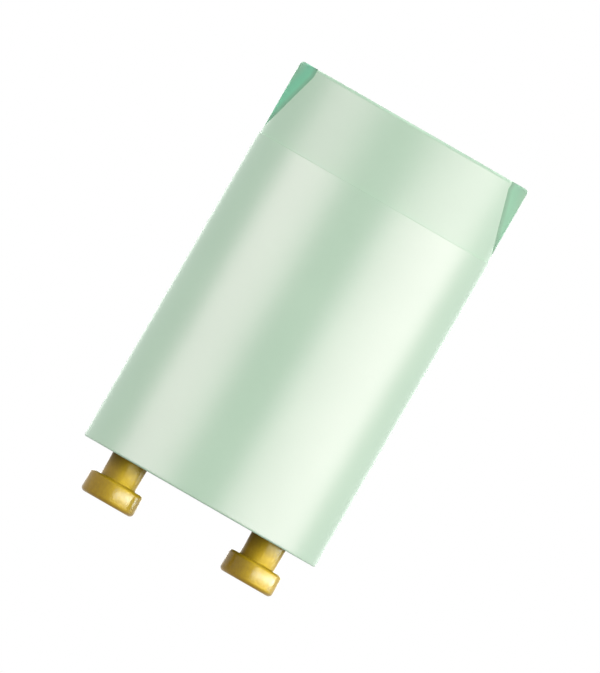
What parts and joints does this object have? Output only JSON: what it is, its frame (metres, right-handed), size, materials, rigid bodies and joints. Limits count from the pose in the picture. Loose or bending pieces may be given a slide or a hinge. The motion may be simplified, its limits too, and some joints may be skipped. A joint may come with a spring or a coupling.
{
  "type": "fluorescent starter",
  "caption": "Plug-in glow starter: a closed cylindrical plastic can with two leaning finger flats on top and two mushroom-headed brass contact pins below.",
  "frame": {"origin": "on the can's axis, in the plane of the contact pins' end faces", "axes": "+Z along the can's axis towards its closed top, +X from the left contact pin to the right one, +Y to the back"},
  "size_m": [0.021, 0.021, 0.0382],
  "materials": {
    "can_plastic": "satin moulded, pale mint green, slightly translucent",
    "plate_plastic": "moulded, ivory",
    "brass": "turned, bright with light tarnish",
    "lamp_glass": "clear blown",
    "lead_wire": "tinned wire",
    "electrode_metal": "rolled, lightly oxidised",
    "capacitor_coat": "dipped coat, ochre brown",
    "solder": "bright, slightly wrinkled"
  },
  "bodies": {
    "root": {"can": "can_plastic", "base_plate": "plate_plastic", "contact_pin_left": "brass", "contact_pin_right": "brass", "lamp_glass": "lamp_glass", "lamp_lead_left": "lead_wire", "lamp_lead_right": "lead_wire", "bimetal_strip": "electrode_metal", "fixed_electrode": "electrode_metal", "capacitor_body": "capacitor_coat", "capacitor_lead_left": "lead_wire", "capacitor_lead_right": "lead_wire", "solder_joint_left": "solder", "solder_joint_right": "solder"}
  },
  "joints": []
}
